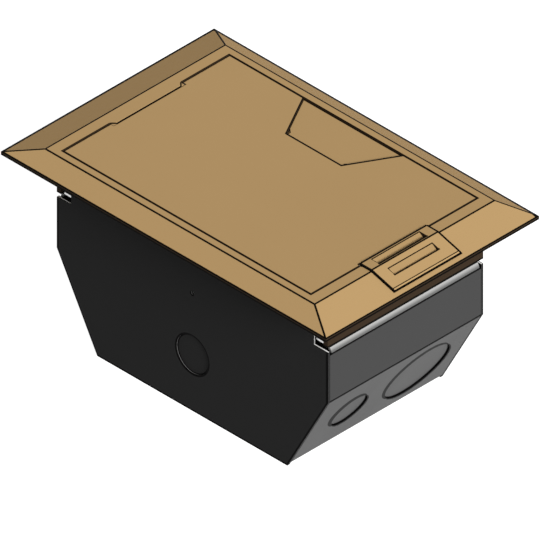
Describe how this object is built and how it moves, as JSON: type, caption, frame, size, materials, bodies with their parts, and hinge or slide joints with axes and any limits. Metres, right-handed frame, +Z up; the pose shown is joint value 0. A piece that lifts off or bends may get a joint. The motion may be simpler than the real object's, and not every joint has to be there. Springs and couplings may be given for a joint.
{
  "type": "floor box",
  "caption": "Raised-floor service box with a bevelled trim frame, flush hinged lid, pull flap, cable door, folded steel body and slide-out clamps.",
  "frame": {"origin": "middle of the flat bottom of the body, which is also the bottom centre of the whole box", "axes": "+Z up out of the floor, +X towards the cable door, +Y towards the pull flap"},
  "size_m": [0.349, 0.229, 0.1795],
  "materials": {
    "frame_paint": "satin tan powder coat",
    "lid_paint": "satin tan powder coat",
    "plate_steel": "black painted sheet steel",
    "wrap_steel": "dark grey coated sheet steel",
    "zinc_steel": "zinc-plated sheet steel",
    "clamp_steel": "bright zinc plate",
    "screw_steel": "bright zinc plate",
    "ground_green": "green anodised screw",
    "pad_rubber": "matt black rubber"
  },
  "bodies": {
    "housing": {"trim_frame": "frame_paint", "box_wrap": "wrap_steel", "side_plate_front": "plate_steel", "side_plate_back": "plate_steel", "side_pryouts": "plate_steel", "end_pryouts_large": "wrap_steel", "end_pryouts_small": "wrap_steel", "lid_hinge_pin": "screw_steel", "device_tray": "zinc_steel", "power_plate": "zinc_steel", "data_plate": "zinc_steel", "plate_screws": "screw_steel", "divider": "zinc_steel", "ground_screw": "ground_green", "frame_screws": "screw_steel", "lid_pads": "pad_rubber", "clamp_screws": "screw_steel"},
    "lid": {"lid": "lid_paint", "lid_stiffener": "zinc_steel", "stiffener_rivets": "screw_steel", "cable_door_pins": "screw_steel", "pull_flap_pin": "screw_steel"},
    "cable_door": {"cable_door": "lid_paint"},
    "pull_flap": {"pull_flap": "lid_paint"},
    "clamp_nut_front_left": {"clamp_nut_front_left": "clamp_steel"},
    "clamp_tongue_front_left": {"clamp_tongue_front_left": "clamp_steel"},
    "clamp_nut_front_right": {"clamp_nut_front_right": "clamp_steel"},
    "clamp_tongue_front_right": {"clamp_tongue_front_right": "clamp_steel"},
    "clamp_nut_back_right": {"clamp_nut_back_right": "clamp_steel"},
    "clamp_tongue_back_right": {"clamp_tongue_back_right": "clamp_steel"},
    "clamp_nut_back_left": {"clamp_nut_back_left": "clamp_steel"},
    "clamp_tongue_back_left": {"clamp_tongue_back_left": "clamp_steel"}
  },
  "joints": [
    {"name": "lid_hinge", "type": "hinge", "parent": "housing", "child": "lid", "pos_m": [-0.1312, 0, 0.1765], "axis": [0, -1, 0], "range_deg": [0, 100]},
    {"name": "cable_door_hinge", "type": "hinge", "parent": "lid", "child": "cable_door", "pos_m": [0.1328, 0, 0.1775], "axis": [0, -1, 0], "range_deg": [0, 105]},
    {"name": "pull_flap_hinge", "type": "hinge", "parent": "lid", "child": "pull_flap", "pos_m": [0, 0.0486, 0.176], "axis": [1, 0, 0], "range_deg": [0, 90]},
    {"name": "clamp_lift_front_left", "type": "slide", "parent": "housing", "child": "clamp_nut_front_left", "axis": [0, 0, 1], "range_m": [0, 0.013]},
    {"name": "clamp_slide_front_left", "type": "slide", "parent": "clamp_nut_front_left", "child": "clamp_tongue_front_left", "axis": [0, -1, 0], "range_m": [0, 0.012]},
    {"name": "clamp_lift_front_right", "type": "slide", "parent": "housing", "child": "clamp_nut_front_right", "axis": [0, 0, 1], "range_m": [0, 0.013]},
    {"name": "clamp_slide_front_right", "type": "slide", "parent": "clamp_nut_front_right", "child": "clamp_tongue_front_right", "axis": [0, -1, 0], "range_m": [0, 0.012]},
    {"name": "clamp_lift_back_right", "type": "slide", "parent": "housing", "child": "clamp_nut_back_right", "axis": [0, 0, 1], "range_m": [0, 0.013]},
    {"name": "clamp_slide_back_right", "type": "slide", "parent": "clamp_nut_back_right", "child": "clamp_tongue_back_right", "axis": [0, 1, 0], "range_m": [0, 0.012]},
    {"name": "clamp_lift_back_left", "type": "slide", "parent": "housing", "child": "clamp_nut_back_left", "axis": [0, 0, 1], "range_m": [0, 0.013]},
    {"name": "clamp_slide_back_left", "type": "slide", "parent": "clamp_nut_back_left", "child": "clamp_tongue_back_left", "axis": [0, 1, 0], "range_m": [0, 0.012]}
  ]
}
